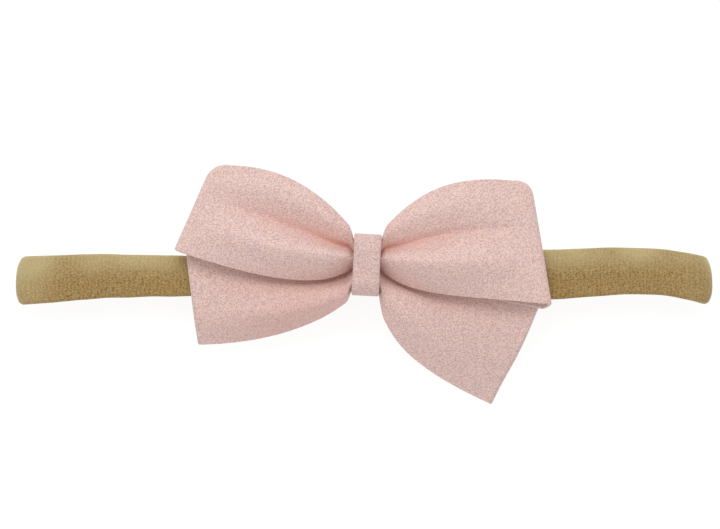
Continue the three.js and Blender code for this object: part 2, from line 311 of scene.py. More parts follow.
@dataclass(frozen=True)
class NodeBench:
    """A short way to add and join nodes in one node tree.

    Attributes:
        tree: The tree that the nodes go in.
    """

    tree: bpy.types.NodeTree

    def plug(self, value: object, socket: Socket) -> None:
        """Puts a value in an input socket.

        Args:
            value: Another node's output socket, or a number or colour.
            socket: The input socket.
        """
        if isinstance(value, Socket):
            self.tree.links.new(value, socket)
        else:
            socket.default_value = value

    def fill(self, node: bpy.types.Node, **settings: object) -> None:
        """Sets a node's properties and input sockets.

        Args:
            node: The node.
            settings: Values for its properties, or what plug takes for its input sockets by name.
        """
        for name, value in settings.items():
            if hasattr(node, name):
                setattr(node, name, value)
            else:
                self.plug(value, node.inputs[name.replace("_", " ")])

    def add(self, kind: str, **settings: object) -> bpy.types.Node:
        """Adds a node.

        Args:
            kind: The node's type, without the ShaderNode prefix.
            settings: What fill takes.

        Returns:
            The new node.
        """
        node = self.tree.nodes.new(kind if kind.startswith("Node") else "ShaderNode" + kind)
        self.fill(node, **settings)
        return node

    def maths(self, operation: str, first: object, second: object, clamp: bool = False) -> Socket:
        """Adds a Math node.

        Args:
            operation: The Math node's operation.
            first: A socket or a number.
            second: A socket or a number.
            clamp: Whether the result stays from 0 to 1.

        Returns:
            The node's output socket.
        """
        node = self.add("Math", operation=operation, use_clamp=clamp)
        self.plug(first, node.inputs[0])
        self.plug(second, node.inputs[1])
        return node.outputs[0]

    def part(self, value: object, share: float) -> Socket:
        """A share of a value."""
        return self.maths("MULTIPLY", value, share)

    def spread(self, value: object, **limits: float) -> Socket:
        """A value taken from one range to another and kept inside it, with limits by MapRange's names."""
        return self.add("MapRange", Value=value, **limits).outputs["Result"]

    def mask(self, name: str) -> Socket:
        """A mask stored on the mesh."""
        return self.add("Attribute", attribute_name=name).outputs["Fac"]

    def bump(self, height: object, strength: float, distance: float) -> Socket:
        """The normal of a relief, with its full height in millimetres."""
        return self.add("Bump", Height=height, Strength=strength, Distance=distance * MM).outputs["Normal"]

    def flecks(self, grain: float) -> bpy.types.bpy_prop_collection:
        """The fleck group's masks, at the object's own coordinates."""
        place = self.add("TexCoord").outputs["Object"]
        return self.add("Group", node_tree=fibre_fleck(), Vector=place, Grain=grain).outputs

    def tint(self, base: object, colour: tuple, mask: object, most: float = 1.0) -> Socket:
        """Lays a colour over another where a mask shows.

        Args:
            base: The colour underneath, or its socket.
            colour: The colour laid over it.
            mask: The mask's socket.
            most: How much of the colour shows where the mask is 1.

        Returns:
            The mixed colour's socket.
        """
        node = self.add("Mix", data_type="RGBA", clamp_factor=True)
        share = mask if most == 1.0 else self.part(mask, most)
        self.plug(share, next(socket for socket in node.inputs if socket.type == "VALUE"))
        under, over = [socket for socket in node.inputs if socket.type == "RGBA"]
        self.plug(base, under)
        self.plug(colour, over)
        return next(socket for socket in node.outputs if socket.type == "RGBA")


def fibre_fleck() -> bpy.types.NodeTree:
    """The node group of fine flecks that every brushed, knitted or spun finish here uses.

    Returns:
        The group, with the masks Fleck, Drift and Pit.
    """
    found = bpy.data.node_groups.get("fibre_fleck")
    if found:
        return found
    group = bpy.data.node_groups.new("fibre_fleck", "ShaderNodeTree")
    group.interface.new_socket("Vector", in_out="INPUT", socket_type="NodeSocketVector")
    grain = group.interface.new_socket("Grain", in_out="INPUT", socket_type="NodeSocketFloat")
    grain.default_value = 2600.0
    for name in ("Fleck", "Drift", "Pit"):
        group.interface.new_socket(name, in_out="OUTPUT", socket_type="NodeSocketFloat")
    bench = NodeBench(group)
    source = bench.add("NodeGroupInput")
    target = bench.add("NodeGroupOutput")
    for name, share, detail in (("Fleck", 1.0, 5.0), ("Drift", 0.09, 2.0), ("Pit", 1.6, 4.0)):
        scale = bench.part(source.outputs["Grain"], share)
        made = bench.add("TexNoise", Vector=source.outputs["Vector"], Scale=scale, Detail=detail)
        bench.plug(bench.spread(made.outputs["Fac"], From_Min=0.3, From_Max=0.7), target.inputs[name])
    return group


def new_material(name: str) -> tuple[bpy.types.Material, NodeBench, bpy.types.Node]:
    """An empty node material.

    Args:
        name: The material's name.

    Returns:
        The material, its bench, and its Principled shader.
    """
    material = bpy.data.materials.new(name)
    material.use_nodes = True
    bench = NodeBench(material.node_tree)
    shader = material.node_tree.nodes["Principled BSDF"]
    return material, bench, shader


@dataclass(frozen=True)
class SuedeFinish:
    """Brushed cloth: a heathered nap, with warm painted shade in its folds, and pale cut edges.

    Attributes:
        name: The material's name.
        ground: The nap's main colour.
        peach: The warmer fibres' colour.
        mauve: The cooler fibres' colour.
        fold: The warm painted shade's colour in a fold.
        deep_shade: The darker painted shade's colour at a fold's bottom.
        cut: The colour of a cut edge.
        lift: The colour of the nap's light-catching tips.
        sheen: The tint of its sheen.
        nap: The height of the nap, in millimetres.
        grain: How many flecks there are to a metre.
    """

    name: str = "suede_cloth"
    ground: tuple = srgb(226, 196, 189)
    peach: tuple = srgb(232, 199, 180)
    mauve: tuple = srgb(188, 146, 148)
    fold: tuple = srgb(216, 152, 136)
    deep_shade: tuple = srgb(168, 98, 84)
    cut: tuple = srgb(222, 202, 190)
    lift: tuple = srgb(248, 226, 218)
    sheen: tuple = srgb(250, 232, 226)
    nap: float = 0.10
    grain: float = 2700.0

    def build(self) -> bpy.types.Material:
        """Makes the material.

        Returns:
            The material.
        """
        material, bench, shader = new_material(self.name)
        fleck = bench.flecks(self.grain)
        crease_shade = bench.mask("crease_shade")
        cool = bench.spread(fleck["Fleck"], From_Min=0.3, From_Max=0.72)
        bottom = bench.spread(crease_shade, From_Min=0.56, From_Max=1.0, To_Max=0.8)
        colour = bench.tint(self.ground, self.peach, fleck["Drift"])
        colour = bench.tint(colour, self.mauve, cool)
        colour = bench.tint(colour, self.lift, fleck["Pit"], 0.55)
        # Painted shade: the folds are laid warm and darker, darkest at a fold's bottom.
        colour = bench.tint(colour, self.fold, crease_shade, 0.85)
        colour = bench.tint(colour, self.deep_shade, bottom)
        colour = bench.tint(colour, self.cut, bench.mask("cut_edge"), 0.7)
        height = bench.maths("ADD", fleck["Fleck"], bench.part(fleck["Pit"], 0.6))
        bench.fill(
            shader,
            Base_Color=colour,
            Roughness=bench.spread(fleck["Fleck"], To_Min=0.82, To_Max=0.98),
            Normal=bench.bump(height, 0.55, self.nap),
            Specular_IOR_Level=0.15,
            Sheen_Weight=0.25,
            Sheen_Roughness=0.45,
            Sheen_Tint=self.sheen,
        )
        return material


@dataclass(frozen=True)
class KnitFinish:
    """Fine stretch knit: courses across the band, with a painted highlight along its far rolled edge and
    round its left turn.

    Attributes:
        name: The material's name.
        yarn: The colour of the yarn's crowns.
        shade: The colour between the courses.
        bloom: The colour of the loose fibres.
        painted_highlight: The paler colour of the painted highlight.
        sheen: The tint of its sheen.
        course: The length of one course along the band, in millimetres.
        wale: The width of one wale across it, in millimetres.
        sway: How far the courses wander, in radians of their wave.
        relief: The height of the knit's relief, in millimetres.
        grain: How many flecks there are to a metre.
    """

    name: str = "stretch_nylon"
    yarn: tuple = srgb(188, 153, 96)
    shade: tuple = srgb(112, 84, 40)
    bloom: tuple = srgb(214, 186, 130)
    painted_highlight: tuple = srgb(204, 190, 144)
    sheen: tuple = srgb(235, 222, 180)
    course: float = 0.95
    wale: float = 0.6
    sway: float = 7.0
    relief: float = 0.18
    grain: float = 2400.0

    def build(self) -> bpy.types.Material:
        """Makes the material.

        Returns:
            The material.
        """
        material, bench, shader = new_material(self.name)
        fleck = bench.flecks(self.grain)
        cloth = bench.add("SeparateXYZ", Vector=bench.add("UVMap", uv_map="cloth").outputs["UV"]).outputs
        courses = bench.part(cloth["X"], 2 * math.pi / (self.course * MM))
        wales = bench.part(cloth["Y"], 2 * math.pi / (self.wale * MM))
        rib = self._wave(bench, bench.maths("ADD", courses, bench.part(fleck["Drift"], self.sway)))
        stitch = self._wave(bench, wales)
        yarns = bench.maths("ADD", bench.part(rib, 0.34), bench.part(stitch, 0.1))
        knit = bench.maths("ADD", yarns, bench.part(fleck["Fleck"], 0.62), True)
        colour = bench.tint(self.shade, self.yarn, knit)
        colour = bench.tint(colour, self.bloom, fleck["Fleck"], 0.6)
        colour = bench.tint(colour, self.shade, fleck["Pit"], 0.6)
        # Painted highlight: the knit is laid paler where the far edge and the left turn catch the light.
        colour = bench.tint(colour, self.painted_highlight, bench.mask("painted_highlight"), 0.6)
        height = bench.maths("ADD", knit, bench.part(fleck["Fleck"], 0.5))
        bench.fill(
            shader,
            Base_Color=colour,
            Roughness=bench.spread(knit, To_Min=0.9, To_Max=0.72),
            Normal=bench.bump(height, 0.6, self.relief),
            Specular_IOR_Level=0.2,
            Sheen_Weight=0.55,
            Sheen_Roughness=0.35,
            Sheen_Tint=self.sheen,
        )
        return material

    @staticmethod
    def _wave(bench: NodeBench, phase: Socket) -> Socket:
        """A wave from 0 to 1, with its phase in radians."""
        return bench.maths("ADD", bench.part(bench.maths("SINE", phase, 0.0), 0.5), 0.5)


@dataclass(frozen=True)
class ThreadFinish:
    """Two-ply sewing thread, matched to the cloth.

    Attributes:
        name: The material's name.
        ply: The colour of a ply's crown.
        groove: The colour between the plies.
        twist: The length of one turn of the twist, in millimetres.
        relief: The height of a ply, in millimetres.
        lay: How the twist's wave is turned from the object's axes.
        grain: How many flecks there are to a metre.
    """

    name: str = "sewing_thread"
    ply: tuple = srgb(233, 208, 201)
    groove: tuple = srgb(178, 146, 139)
    twist: float = 0.7
    relief: float = 0.06
    lay: tuple = (0.3, 0.5, math.radians(38))
    grain: float = 5200.0

    def build(self) -> bpy.types.Material:
        """Makes the material.

        Returns:
            The material.
        """
        material, bench, shader = new_material(self.name)
        fleck = bench.flecks(self.grain)
        turned = bench.add("Mapping", Vector=bench.add("TexCoord").outputs["Object"], Rotation=self.lay)
        wave = bench.add("TexWave", bands_direction="DIAGONAL", Scale=1 / (self.twist * MM), Distortion=1.5)
        bench.fill(wave, Vector=turned.outputs["Vector"])
        plies = wave.outputs["Fac"]
        colour = bench.tint(self.groove, self.ply, plies)
        bench.fill(
            shader,
            Base_Color=bench.tint(colour, self.groove, fleck["Fleck"], 0.3),
            Roughness=bench.spread(plies, To_Min=0.85, To_Max=0.6),
            Normal=bench.bump(plies, 0.5, self.relief),
            Sheen_Weight=0.15,
        )
        return material


# ---------------------------------------------------------------- the band


@dataclass
class NylonBand:
    """The seamless knit loop, its long edges rolled inwards, laid flat in two layers.

    Attributes:
        finish: The knit.
        cloth: The knit's thickness.
        crown: How far the band's middle stands above its rolled edges.
        lip: How far each rolled edge reaches back over the inside.
        cut_width: The knit's width before its long edges rolled in; not used.
        lift_end: Where the sloping front stretch meets the fixed one, along X.
        row_step: The spacing of the sheet's rows along the band.
        seam_gap: The hairline between two stretches that meet.
        slant: How much further out a turn reaches at its near edge, for each millimetre across.
        back_width: The back layer's width in the middle, where nothing grips it.
        free_run: How far from the waist the back layer has come to the width that its run gives.
        lip_rise: How far a lip's free edge curls towards the middle of the roll.
        uneven: How uneven the knit is, across the band and in height.
        uneven_run: Where that starts and is full, along X.
        edge_highlight_run: Where the painted highlight on the knit starts and is full, across the band, as
            shares of its width.
        turn_highlight_run: Where it starts and is full along the band, on the way into a turn.
        edge_highlight: How strongly the painted highlight shows on the far edge.
        turn_highlight: How strongly it shows at the left turn.
        right_share: How much of that the right turn shows.
        even_highlight: How much of the painted highlight is the same everywhere.
        grip: How far from the waist the wrap still holds the band.
        lip_points: Points across a lip.
        roll_points: Points round a rolled edge.
        top_points: Points from a rolled edge to the band's middle.
        turn_points: Points round a turn at the loop's end.
        left_run: Distance from the waist, the band's middle in Y and its width, on the left.
        right_run: The same on the right.
    """

    finish: KnitFinish = field(default_factory=KnitFinish)
    cloth: float = 0.5
    crown: float = 0.4
    lip: float = 2.0
    cut_width: float = 18.5
    lift_end: float = 42.3
    row_step: float = 0.7
    seam_gap: float = 0.008
    slant: float = 0.05
    back_width: float = 10.6
    free_run: float = 30.0
    lip_rise: float = 0.35
    uneven: tuple = (0.22, 0.11)
    uneven_run: tuple = (0.5, 7.0)
    edge_highlight_run: tuple = (-0.1, 0.52)
    turn_highlight_run: tuple = (72.0, 84.0)
    edge_highlight: float = 0.75
    turn_highlight: float = 0.6
    right_share: float = 0.45
    even_highlight: float = 0.55
    grip: float = 4.3
    lip_points: int = 5
    roll_points: int = 11
    top_points: int = 8
    turn_points: int = 31
    left_run: tuple = (
        (0, -1.2, 9.4), (3, -1.2, 9.4), (8, -1.6, 9.6), (43, -2.7, 9.8),
        (63, -2.7, 10.6), (78, -3.5, 11.5), (90, -4.1, 12.2),
    )
    right_run: tuple = (
        (0, -1.2, 9.4), (3, -1.2, 9.4), (8, -1.8, 10.4), (45, -2.3, 12.0),
        (62, -1.5, 11.4), (72, -1.8, 11.3), (79, -2.9, 11.5), (90, -5.0, 11.8),
    )

    def __post_init__(self) -> None:
        """Reads the layers' heights and the turns' reach from the frame."""
        front = [corner.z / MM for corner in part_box("band_front_outer_left")]
        back = [corner.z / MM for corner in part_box("band_back_left")]
        self.front_height = sum(front) / 2
        self.back_height = sum(back) / 2
        self.radius = (self.front_height - self.back_height) / 2
        self.roll = (front[1] - front[0] - self.cloth - self.crown) / 2
        self.reach = {
            Side.LEFT: -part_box("band_turn_left")[0].x / MM,
            Side.RIGHT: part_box("band_turn_right")[1].x / MM,
        }

    def section(self, width: float) -> np.ndarray:
        """The rolled cross-section's middle line, from one lip round to the other.

        Args:
            width: The band's width, in millimetres.

        Returns:
            Pairs of (across, outward) places, in millimetres.
        """
        reach = width / 2 - self.cloth / 2
        centre = reach - self.roll
        angles = np.linspace(-math.pi / 2, -3 * math.pi / 2, self.roll_points)
        near = np.stack([-centre + self.roll * np.cos(angles), self.roll * np.sin(angles)], axis=1)
        curl = np.linspace(1, 0, self.lip_points)[:-1]
        lip = np.linspace(-centre + self.lip, -centre, self.lip_points)[:-1]
        lip = np.stack([lip, self.lip_rise * curl**2 - self.roll], axis=1)
        top = np.linspace(-centre, 0, self.top_points)[1:]
        top = np.stack([top, self.roll + self.crown * (1 - (top / centre) ** 2)], axis=1)
        half = np.concatenate([lip, near, top]) - (0, self.crown / 2)
        return np.concatenate([half, half[-2::-1] * (-1, 1)])

    def run(self, side: Side, distance: np.ndarray) -> np.ndarray:
        """A row of the band's middle in Y and its width, at each distance from the waist."""
        knots = np.array(self.left_run if side is Side.LEFT else self.right_run, float)
        return hermite(knots[:, 0], knots[:, 1:], distance)

    def rows(self, side: Side, path: np.ndarray) -> np.ndarray:
        """The sheet's grid along a path in XZ.

        Args:
            side: The side of the waist.
            path: Rows of (distance from the waist, height, outward X, outward Z).

        Returns:
            The grid of points, in millimetres.
        """
        sizes = self.run(side, path[:, 0])
        back = np.clip(-path[:, 3], 0, 1)
        sizes[:, 1] += back * (self.back_width - sizes[:, 1]) * (1 - smooth(path[:, 0], 0, self.free_run))
        grid = []
        for (distance, height, out_x, out_z), (middle, width) in zip(path, sizes):
            across, outward = self.section(width).T
            pull = max(out_x, 0.0) * (np.abs(across / (width / 2)) ** 4 + self.slant * across)
            x = side.value * (distance + outward * out_x - pull)
            grid.append(np.stack([x, middle + across, height + outward * out_z], axis=1))
        made = np.array(grid)
        free = smooth(np.abs(made[..., 0]), *self.uneven_run)
        sway, swell = self.uneven
        made[..., 1] += free * ripple(made, sway, wavelength=7.0, seed=3.0 * side.value)
        front = made[..., 2] > self.radius
        made[..., 2] += free * ripple(made, swell, wavelength=9.0, seed=11.0 * side.value) * front
        return made

    def flat_path(self, near: float, far: float, height: float, out_z: float) -> np.ndarray:
        """A straight stretch of path along X.

        Args:
            near: Its first distance from the waist.
            far: Its last.
            height: Its height.
            out_z: The outward direction, 1 for up and -1 for down.

        Returns:
            Rows of (distance, height, outward X, outward Z).
        """
        count = max(3, round(abs(far - near) / self.row_step))
        path = np.zeros((count, 4))
        path[:, 0] = np.linspace(near, far, count)
        path[:, 1], path[:, 3] = height, out_z
        return path

    def end_path(self, side: Side) -> np.ndarray:
        """The path from the front layer's fixed stretch, round the turn, to the back layer's middle.

        Args:
            side: The side of the waist.

        Returns:
            Rows of (distance, height, outward X, outward Z).
        """
        centre = self.reach[side] - self.radius - self.roll - self.crown / 2 - self.cloth / 2
        angles = np.linspace(math.pi / 2, -math.pi / 2, self.turn_points)[1:-1]
        turn = np.stack([
            centre + self.radius * np.cos(angles),
            self.back_height + self.radius * (1 + np.sin(angles)),
            np.cos(angles),
            np.sin(angles),
        ], axis=1)
        front = self.flat_path(self.lift_end + self.seam_gap, centre, self.front_height, 1)
        back = self.flat_path(centre, self.seam_gap, self.back_height, -1)
        return np.concatenate([front, turn, back])

    def stretch(self, name: str, grid: np.ndarray, side: Side) -> ClothSheet:
        """A stretch of band, with a painted highlight along its far edge and at the left turn.

        Args:
            name: The piece's name.
            grid: Its points.
            side: The side of the waist.

        Returns:
            The sheet.
        """
        sizes = self.run(side, np.abs(grid[..., 0]).ravel()).reshape(*grid.shape[:2], 2)
        place = (grid[..., 1] - sizes[..., 0]) / sizes[..., 1]
        # Painted highlight: the knit is laid paler along the far edge and round the left turn, where light
        # catches it.
        edge = smooth(place, *self.edge_highlight_run)
        turn = smooth(np.abs(grid[..., 0]), *self.turn_highlight_run) * (1.0 if side is Side.LEFT else self.right_share)
        patch = 0.5 + ripple(grid, size=0.9, wavelength=8.0, seed=31.0)
        highlight = edge * self.edge_highlight + turn * self.turn_highlight
        painted_highlight = np.clip(highlight * (self.even_highlight + patch), 0, 1)
        return ClothSheet(name, grid, self.cloth, end_rim=0.0, mask=painted_highlight, mask_name="painted_highlight")

    def build(self) -> list[bpy.types.Object]:
        """Builds the four stretches of the band and bakes each one's transform.

        Returns:
            The pieces.
        """
        material = self.finish.build()
        pieces = []
        for side in Side:
            front_path = self.flat_path(self.seam_gap, self.lift_end, self.front_height, 1)
            end = self.stretch(f"band_{side.word}", self.rows(side, self.end_path(side)), side)
            front = self.stretch(f"band_front_{side.word}", self.rows(side, front_path), side)
            for sheet in (end, front):
                piece = sheet.build()
                piece.data.materials.append(material)
                pieces.append(piece)
            end_piece, front_piece = pieces[-2:]
            turn_start = self.reach[side] - self.radius
            self._tie(end_piece, "band_back", f"{side.word}_end", side, self.lift_end, turn_start)
            self._tie(front_piece, "bow", "band_back", side, self.grip, self.lift_end)
            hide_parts("band_back_middle", f"band_back_{side.word}", f"band_turn_{side.word}")
            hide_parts(f"band_front_outer_{side.word}")
            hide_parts("band_front_middle", f"band_front_inner_{side.word}")
        return pieces

    @staticmethod
    def _tie(
        piece: bpy.types.Object, first: str, second: str, side: Side, near: float, far: float
    ) -> None:
        """Bakes the stretch's transform into its mesh."""
        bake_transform(piece)


# ---------------------------------------------------------------- the bow


@dataclass(frozen=True)
class Fold:
    """The rounded fold at a loop's outer end, seen from above as a line.

    Attributes:
        lower: The fold line's lower corner (x, y).
        upper: Its upper corner.
        radius: The fold's radius, to the middle of the cloth.
        rounding: The radius of the upper corner.
        top_angle: The way the upper edge runs into the fold, in degrees above the X axis.
        lip: How far the back layer shows below the front one at the lower corner.
        lip_run: The share of the line over which the lip narrows to nothing.
        turn_start: The share of the line at which the cloth starts to turn to the upper edge's way.
        corner_run: The upper corner's length along the line, in lengths of its radius.
        corner_sine: The sine of the angle that the upper corner turns through.
    """

    lower: tuple
    upper: tuple
    radius: float
    rounding: float
    top_angle: float = 0.0
    lip: float = 0.0
    lip_run: float = 0.4
    turn_start: float = 0.45
    corner_run: float = 1.25
    corner_sine: float = 0.985

    def line(self, shares: np.ndarray) -> np.ndarray:
        """Places on the fold's outermost line.

        Args:
            shares: Places across the strip, from 0 to 1.

        Returns:
            A row of (x, y) for each share.
        """
        low, high = np.array(self.lower, float), np.array(self.upper, float)
        made = low + shares[:, None] * (high - low)
        inset = self.rounding * (1 - np.sqrt(1 - (self.corner_sine * self.turned(shares)) ** 2))
        return made - inset[:, None] * self.outward(shares)

    def turned(self, shares: np.ndarray) -> np.ndarray:
        """How far round the upper corner the line is, from 0 below it to 1 at the cloth's edge."""
        corner = self.corner_run * self.rounding / np.linalg.norm(np.subtract(self.upper, self.lower))
        return np.clip((shares - 1) / corner + 1, 0, 1)

    def lip_drop(self, shares: np.ndarray) -> np.ndarray:
        """How far the back layer shows below the front one, across the strip."""
        return self.lip * np.clip(1 - shares / self.lip_run, 0, 1) ** 2

    def outward(self, shares: np.ndarray) -> np.ndarray:
        """The way the cloth runs into the fold, away from the waist.

        Args:
            shares: Places across the strip, from 0 to 1.

        Returns:
            A unit (x, y) for each share.
        """
        along = np.subtract(self.upper, self.lower)
        square = math.atan2(-along[0], along[1])
        turn = smooth(shares, self.turn_start, 1.0)
        angle = square * (1 - turn) + math.radians(self.top_angle) * turn
        return np.stack([np.cos(angle), np.sin(angle)], axis=1)


@dataclass(frozen=True)
class Lobe:
    """One layer of a loop, or one tail, as rails from the waist outwards.

    Attributes:
        side: The side of the waist.
        rows: The number of rows of points from the waist outwards.
        rails: The lines that the cloth follows, from its lower edge to its upper. Each is its share across
        the strip, from 0 to 1, and Bezier control points (x, y, z, painted shade in a fold), with x counted
        from the waist and a painted shade of 0 left out.
        fold: The fold that the layer ends in, if it ends in one.
        back: Whether this is a loop's back layer.
    """

    side: Side
    rows: int
    rails: tuple
    fold: Fold | None = None
    back: bool = False

    def grid(self, shares: np.ndarray, level: float = 0.0) -> np.ndarray:
        """The layer's points.

        Args:
            shares: Places across the strip.
            level: The height of the layer where it meets its fold.

        Returns:
            Rows of points (x, y, z, painted shade in a fold), in millimetres.
        """
        steps = np.linspace(0, 1, self.rows)
        lines = []
        for share, *controls in self.rails:
            points = [[*point, 0.0][:4] for point in controls]
            if self.fold:
                place = np.array([share])
                inside = (self.fold.line(place) - self.fold.radius * self.fold.outward(place))[0]
                if self.back:
                    inside[1] -= self.fold.lip_drop(place)[0]
                points.append([*inside, level, 0.0])
            lines.append(bezier(np.array(points, float), steps))
        knots = np.array([rail[0] for rail in self.rails])
        made = hermite(knots, np.array(lines), shares).transpose(1, 0, 2)
        made[..., 0] *= self.side.value
        return made


@dataclass
class FoldedBow:
    """One strip of brushed cloth: a tail, a loop each side, and the other tail, gathered at the waist.

    Attributes:
        finish: The cloth.
        thickness: The cloth's thickness.
        width: The strip's cut width; not used.
        length: The strip's cut length: both tails, both loops there and back, and their folds; not used.
        columns: Points across the strip.
        thread_pinch: The share of its size that the thread leaves the cloth, across and in height.
        thread_edge: The thread's edge, along X.
        wrap_pinch: The share that the wrap leaves it, across and in height.
        wrap_edge: The wrap's edge, along X.
        wrap_lean: How far the gathered waist leans to the right at its top, in degrees.
        flare: How far past the wrap's edge the cloth is back to its own width, and height.
        gathered: The share of the cloth's thickness left where it is gathered.
        swell: Where the thickness starts to grow back and is full, along X.
        loose: Where the cloth's unevenness starts and is full, along X.
        waist_height: The height of the waist's middle.
        pressed: The heights that the lowest layer and the next are pressed to in the waist.
        tuck: How far a fold draws in at its upper corner, as a share of the thickness.
        fold_steps: Points round a fold.
        waist_steps: Points along a layer's way across the waist.
        waist_ease: How softly a layer comes to its pressed height: less is more sudden.
        cad_half: Half the thickness of the frame's cloth.
        binding: The pieces sewn round the strip; not used.
        left_fold: The left loop's fold.
        right_fold: The right loop's fold.
        left_front: The left loop's front layer.
        right_front: The right loop's front layer.
        left_back: The left loop's back layer.
        right_back: The right loop's back layer.
        left_tail: The left tail, behind the left loop and over the band.
        right_tail: The right tail, behind the right loop, longer and turned down.
    """

    finish: SuedeFinish = field(default_factory=SuedeFinish)
    thickness: float = 0.95
    width: float = 30.0
    length: float = 274.0
    columns: int = 81
    thread_pinch: tuple = (0.67, 0.74)
    thread_edge: float = 1.4
    wrap_pinch: tuple = (0.70, 0.80)
    wrap_edge: float = 3.45
    wrap_lean: float = 1.9
    flare: tuple = (1.5, 3.9)
    gathered: float = 0.36
    swell: tuple = (4.5, 11.0)
    loose: tuple = (4.0, 14.0)
    waist_height: float = 16.0
    pressed: tuple = (13.2, 15.0)
    tuck: float = 0.3
    fold_steps: int = 15
    waist_steps: int = 11
    waist_ease: float = 0.6
    cad_half: float = 0.5
    binding: list = field(default_factory=list)

    left_fold: Fold = Fold((46.15, 3.7), (37.1, 24.2), 1.55, 2.9, 4.0)
    right_fold: Fold = Fold((44.4, -8.9), (39.45, 20.0), 1.75, 2.6, -3.0, 1.3)
    left_front: Lobe = Lobe(Side.LEFT, 64, (
        (0.0, (1.8, 0.2, 16.9, 0.9), (10, -6.0, 16.3, 0.2), (24, -3.6, 16.6, 0.1)),
        (0.1, (1.8, 0.9, 18.2, 0.5), (10, -3.4, 19.6), (24, -1.0, 19.2)),
        (0.33, (1.8, 2.2, 19.2, 0.1), (10, 0.9, 24.0), (24, 4.0, 23.8)),
        (0.5, (1.8, 3.1, 18.8, 0.2), (9, 2.0, 21.8), (19, 6.4, 22.0)),
        (0.575, (1.8, 3.6, 17.8, 0.6), (8.4, 2.7, 18.9, 0.2), (18.6, 8.2, 20.3)),
        (0.64, (1.8, 4.3, 17.4, 1.0), (8, 4.3, 17.5, 0.85), (18, 10.1, 18.6, 0.3)),
        (0.705, (1.8, 5.1, 17.5, 0.5), (8, 6.5, 18.8, 0.3), (18, 13.2, 20.2, 0.25)),
        (0.82, (1.8, 6.1, 17.8, 0.2), (8.5, 11.1, 20.8), (18, 18.2, 22.8)),
        (1.0, (1.8, 6.9, 17.2, 0.1), (9.4, 15.4, 19.5), (17.6, 23.7, 20.4)),
    ), left_fold)
    right_front: Lobe = Lobe(Side.RIGHT, 64, (
        (0.0, (1.9, 0.6, 16.9, 0.9), (8, -7.4, 16.4, 0.2), (22, -7.0, 16.8, 0.1)),
        (0.1, (1.9, 1.2, 18.2, 0.5), (8.5, -4.9, 19.8), (22, -4.6, 19.6)),
        (0.33, (1.9, 2.4, 19.2, 0.1), (9.5, -0.4, 24.8), (23, 0.6, 25.2)),
        (0.48, (1.9, 3.1, 18.8, 0.2), (8.8, 1.2, 22.2), (19.5, 4.3, 23.4)),
        (0.555, (1.9, 3.6, 17.8, 0.6), (8.4, 1.9, 19.1, 0.2), (18, 7.1, 21.3)),
        (0.62, (1.9, 4.3, 17.4, 1.0), (8, 3.3, 17.6, 0.85), (17, 9.6, 19.6, 0.1)),
        (0.685, (1.9, 5.1, 17.5, 0.5), (8, 5.4, 19.0, 0.2), (16.8, 12.1, 21.5)),
        (0.82, (1.9, 6.1, 17.8, 0.2), (8, 9.2, 20.8), (16.5, 17.0, 23.4)),
        (1.0, (1.9, 6.8, 17.2, 0.1), (8.8, 12.2, 19.6), (14.3, 22.5, 20.8)),
    ), right_fold)
    left_back: Lobe = Lobe(Side.LEFT, 58, (
        (0.0, (1.9, 0.4, 14.9, 0.2), (10, -2.6, 14.6, 0.3), (24, -2.2, 14.3, 0.2)),
        (0.5, (1.9, 3.0, 15.2, 0.2), (10, 5.0, 15.0, 0.2), (22, 9.0, 14.6, 0.2)),
        (1.0, (1.9, 6.2, 14.8, 0.2), (10, 14.5, 14.6, 0.3), (17.4, 22.6, 14.4, 0.2)),
    ), left_fold, True)
    right_back: Lobe = Lobe(Side.RIGHT, 58, (
        (0.0, (1.9, 0.6, 14.9, 0.2), (9, -3.6, 14.7, 0.3), (24, -6.8, 14.3, 0.2)),
        (0.5, (1.9, 3.0, 15.2, 0.2), (10, 3.4, 15.0, 0.2), (22, 4.4, 14.6, 0.2)),
        (1.0, (1.9, 6.0, 14.8, 0.2), (9, 12.0, 14.6, 0.3), (14.6, 19.8, 14.4, 0.2)),
    ), right_fold, True)
    left_tail: Lobe = Lobe(Side.LEFT, 60, (
        (0.0, (1.9, -6.9, 14.2, 0.1), (9.4, -12.3, 11.6, 0.5), (20, -18.6, 5.6, 0.3), (40.8, -19.2, 6.8)),
        (0.22, (1.9, -6.0, 17.6, 0.1), (8, -8.6, 18.2, 0.4), (18, -13.2, 14.2, 0.35), (41.6, -13.4, 10.8)),
        (0.38, (1.9, -4.0, 17.6, 0.3), (7.5, -5.9, 17.6, 0.3), (17, -9.4, 14.6, 0.2), (42.1, -9.2, 12.1)),
        (0.5, (1.9, -2.6, 15.2, 0.5), (8, -5.0, 15.2, 0.6), (18, -6.8, 14.2, 0.35), (42.5, -5.9, 12.6)),
        (0.7, (1.9, -1.2, 13.0, 0.4), (9, -2.4, 12.9, 0.5), (20, -1.4, 12.6, 0.4), (43.2, 0.0, 12.6)),
        (1.0, (1.9, 0.6, 12.9, 0.2), (10, 2.0, 12.8, 0.2), (24, 5.6, 12.6, 0.2), (43.9, 7.4, 12.6)),
    ))
